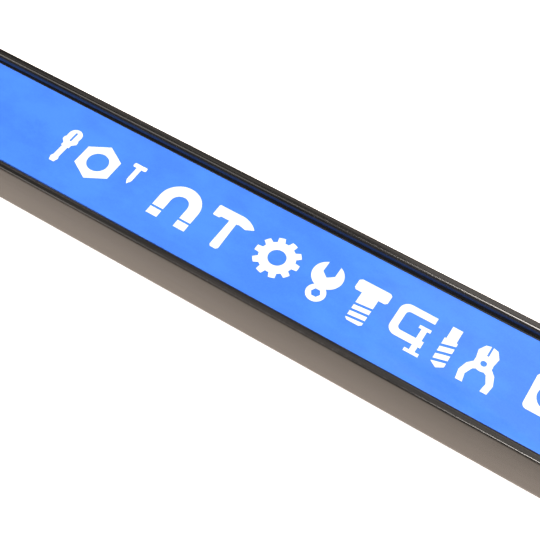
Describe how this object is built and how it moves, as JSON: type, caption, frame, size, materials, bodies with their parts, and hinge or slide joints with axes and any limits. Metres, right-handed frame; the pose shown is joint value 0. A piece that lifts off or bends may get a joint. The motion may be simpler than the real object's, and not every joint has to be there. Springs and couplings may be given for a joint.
{
  "type": "magnetic tool holder bar",
  "caption": "Long black steel channel bar with a row of ferrite magnets under a recessed blue printed strip; it screws to a wall by its end tabs and holds steel tools.",
  "frame": {"origin": "middle of the mounting face, at the middle of the bar's length and width; the mounting face lies on Z = 0", "axes": "+X along the bar; +Z out of the working face, away from the wall; -Y is the lower side of the bar on a wall"},
  "size_m": [0.4572, 0.0254, 0.0127],
  "materials": {
    "black_paint": "satin",
    "tape": "matte",
    "ferrite": "matte",
    "black_plastic": "matte",
    "strip_steel": "satin",
    "blue_film": "gloss",
    "zinc_steel": "satin"
  },
  "bodies": {
    "root": {"channel": "black_paint", "magnet_tape": "tape", "magnet_1": "ferrite", "magnet_2": "ferrite", "magnet_3": "ferrite", "magnet_4": "ferrite", "magnet_5": "ferrite", "magnet_6": "ferrite", "magnet_7": "ferrite", "magnet_8": "ferrite", "magnet_9": "ferrite", "magnet_10": "ferrite", "spacer_front": "black_plastic", "spacer_rear": "black_plastic", "pole_strip": "strip_steel", "label": "blue_film", "end_plug_left": "black_plastic", "end_plug_right": "black_plastic", "rivet_left": "zinc_steel", "rivet_right": "zinc_steel"}
  },
  "joints": []
}
